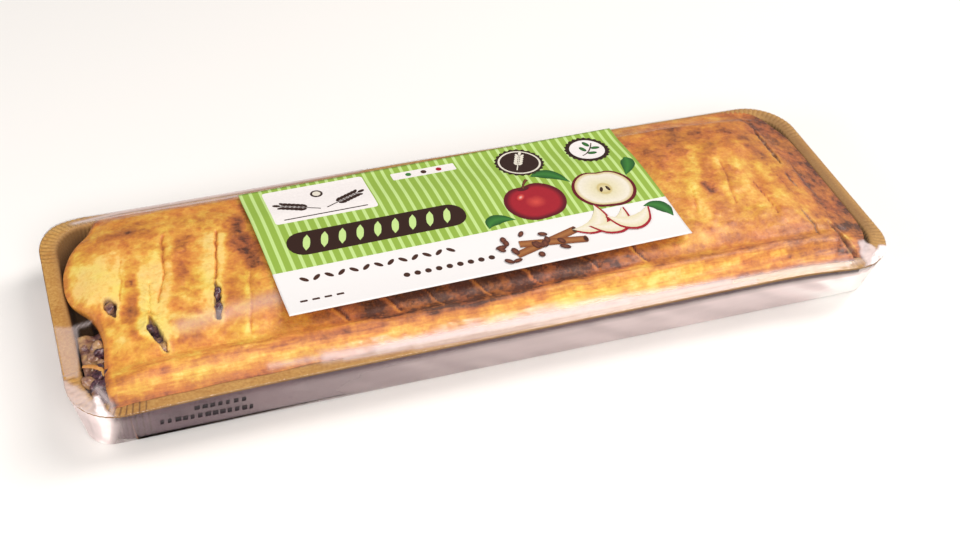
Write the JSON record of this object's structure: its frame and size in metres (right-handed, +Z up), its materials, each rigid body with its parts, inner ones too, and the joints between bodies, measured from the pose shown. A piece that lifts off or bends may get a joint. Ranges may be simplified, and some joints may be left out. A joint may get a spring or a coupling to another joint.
{
  "type": "packed apple strudel",
  "caption": "Long slashed apple and raisin strudel in a shallow pressed-paper tray, sealed in clear film with a rectangular label on top.",
  "frame": {"origin": "centre of the pack's outline at the flat underside, on the surface it rests on", "axes": "+X along the pack, +Y to its back long side, +Z up"},
  "size_m": [0.3, 0.1024, 0.0304],
  "materials": {
    "film_over_pastry": "clear glossy polypropylene film over baked golden pastry in a tan pressed-paper tray",
    "label_paper": "coated white paper printed with green stripes, smooth satin"
  },
  "bodies": {
    "root": {"sealed_bag": "film_over_pastry", "label": "label_paper"}
  },
  "joints": []
}
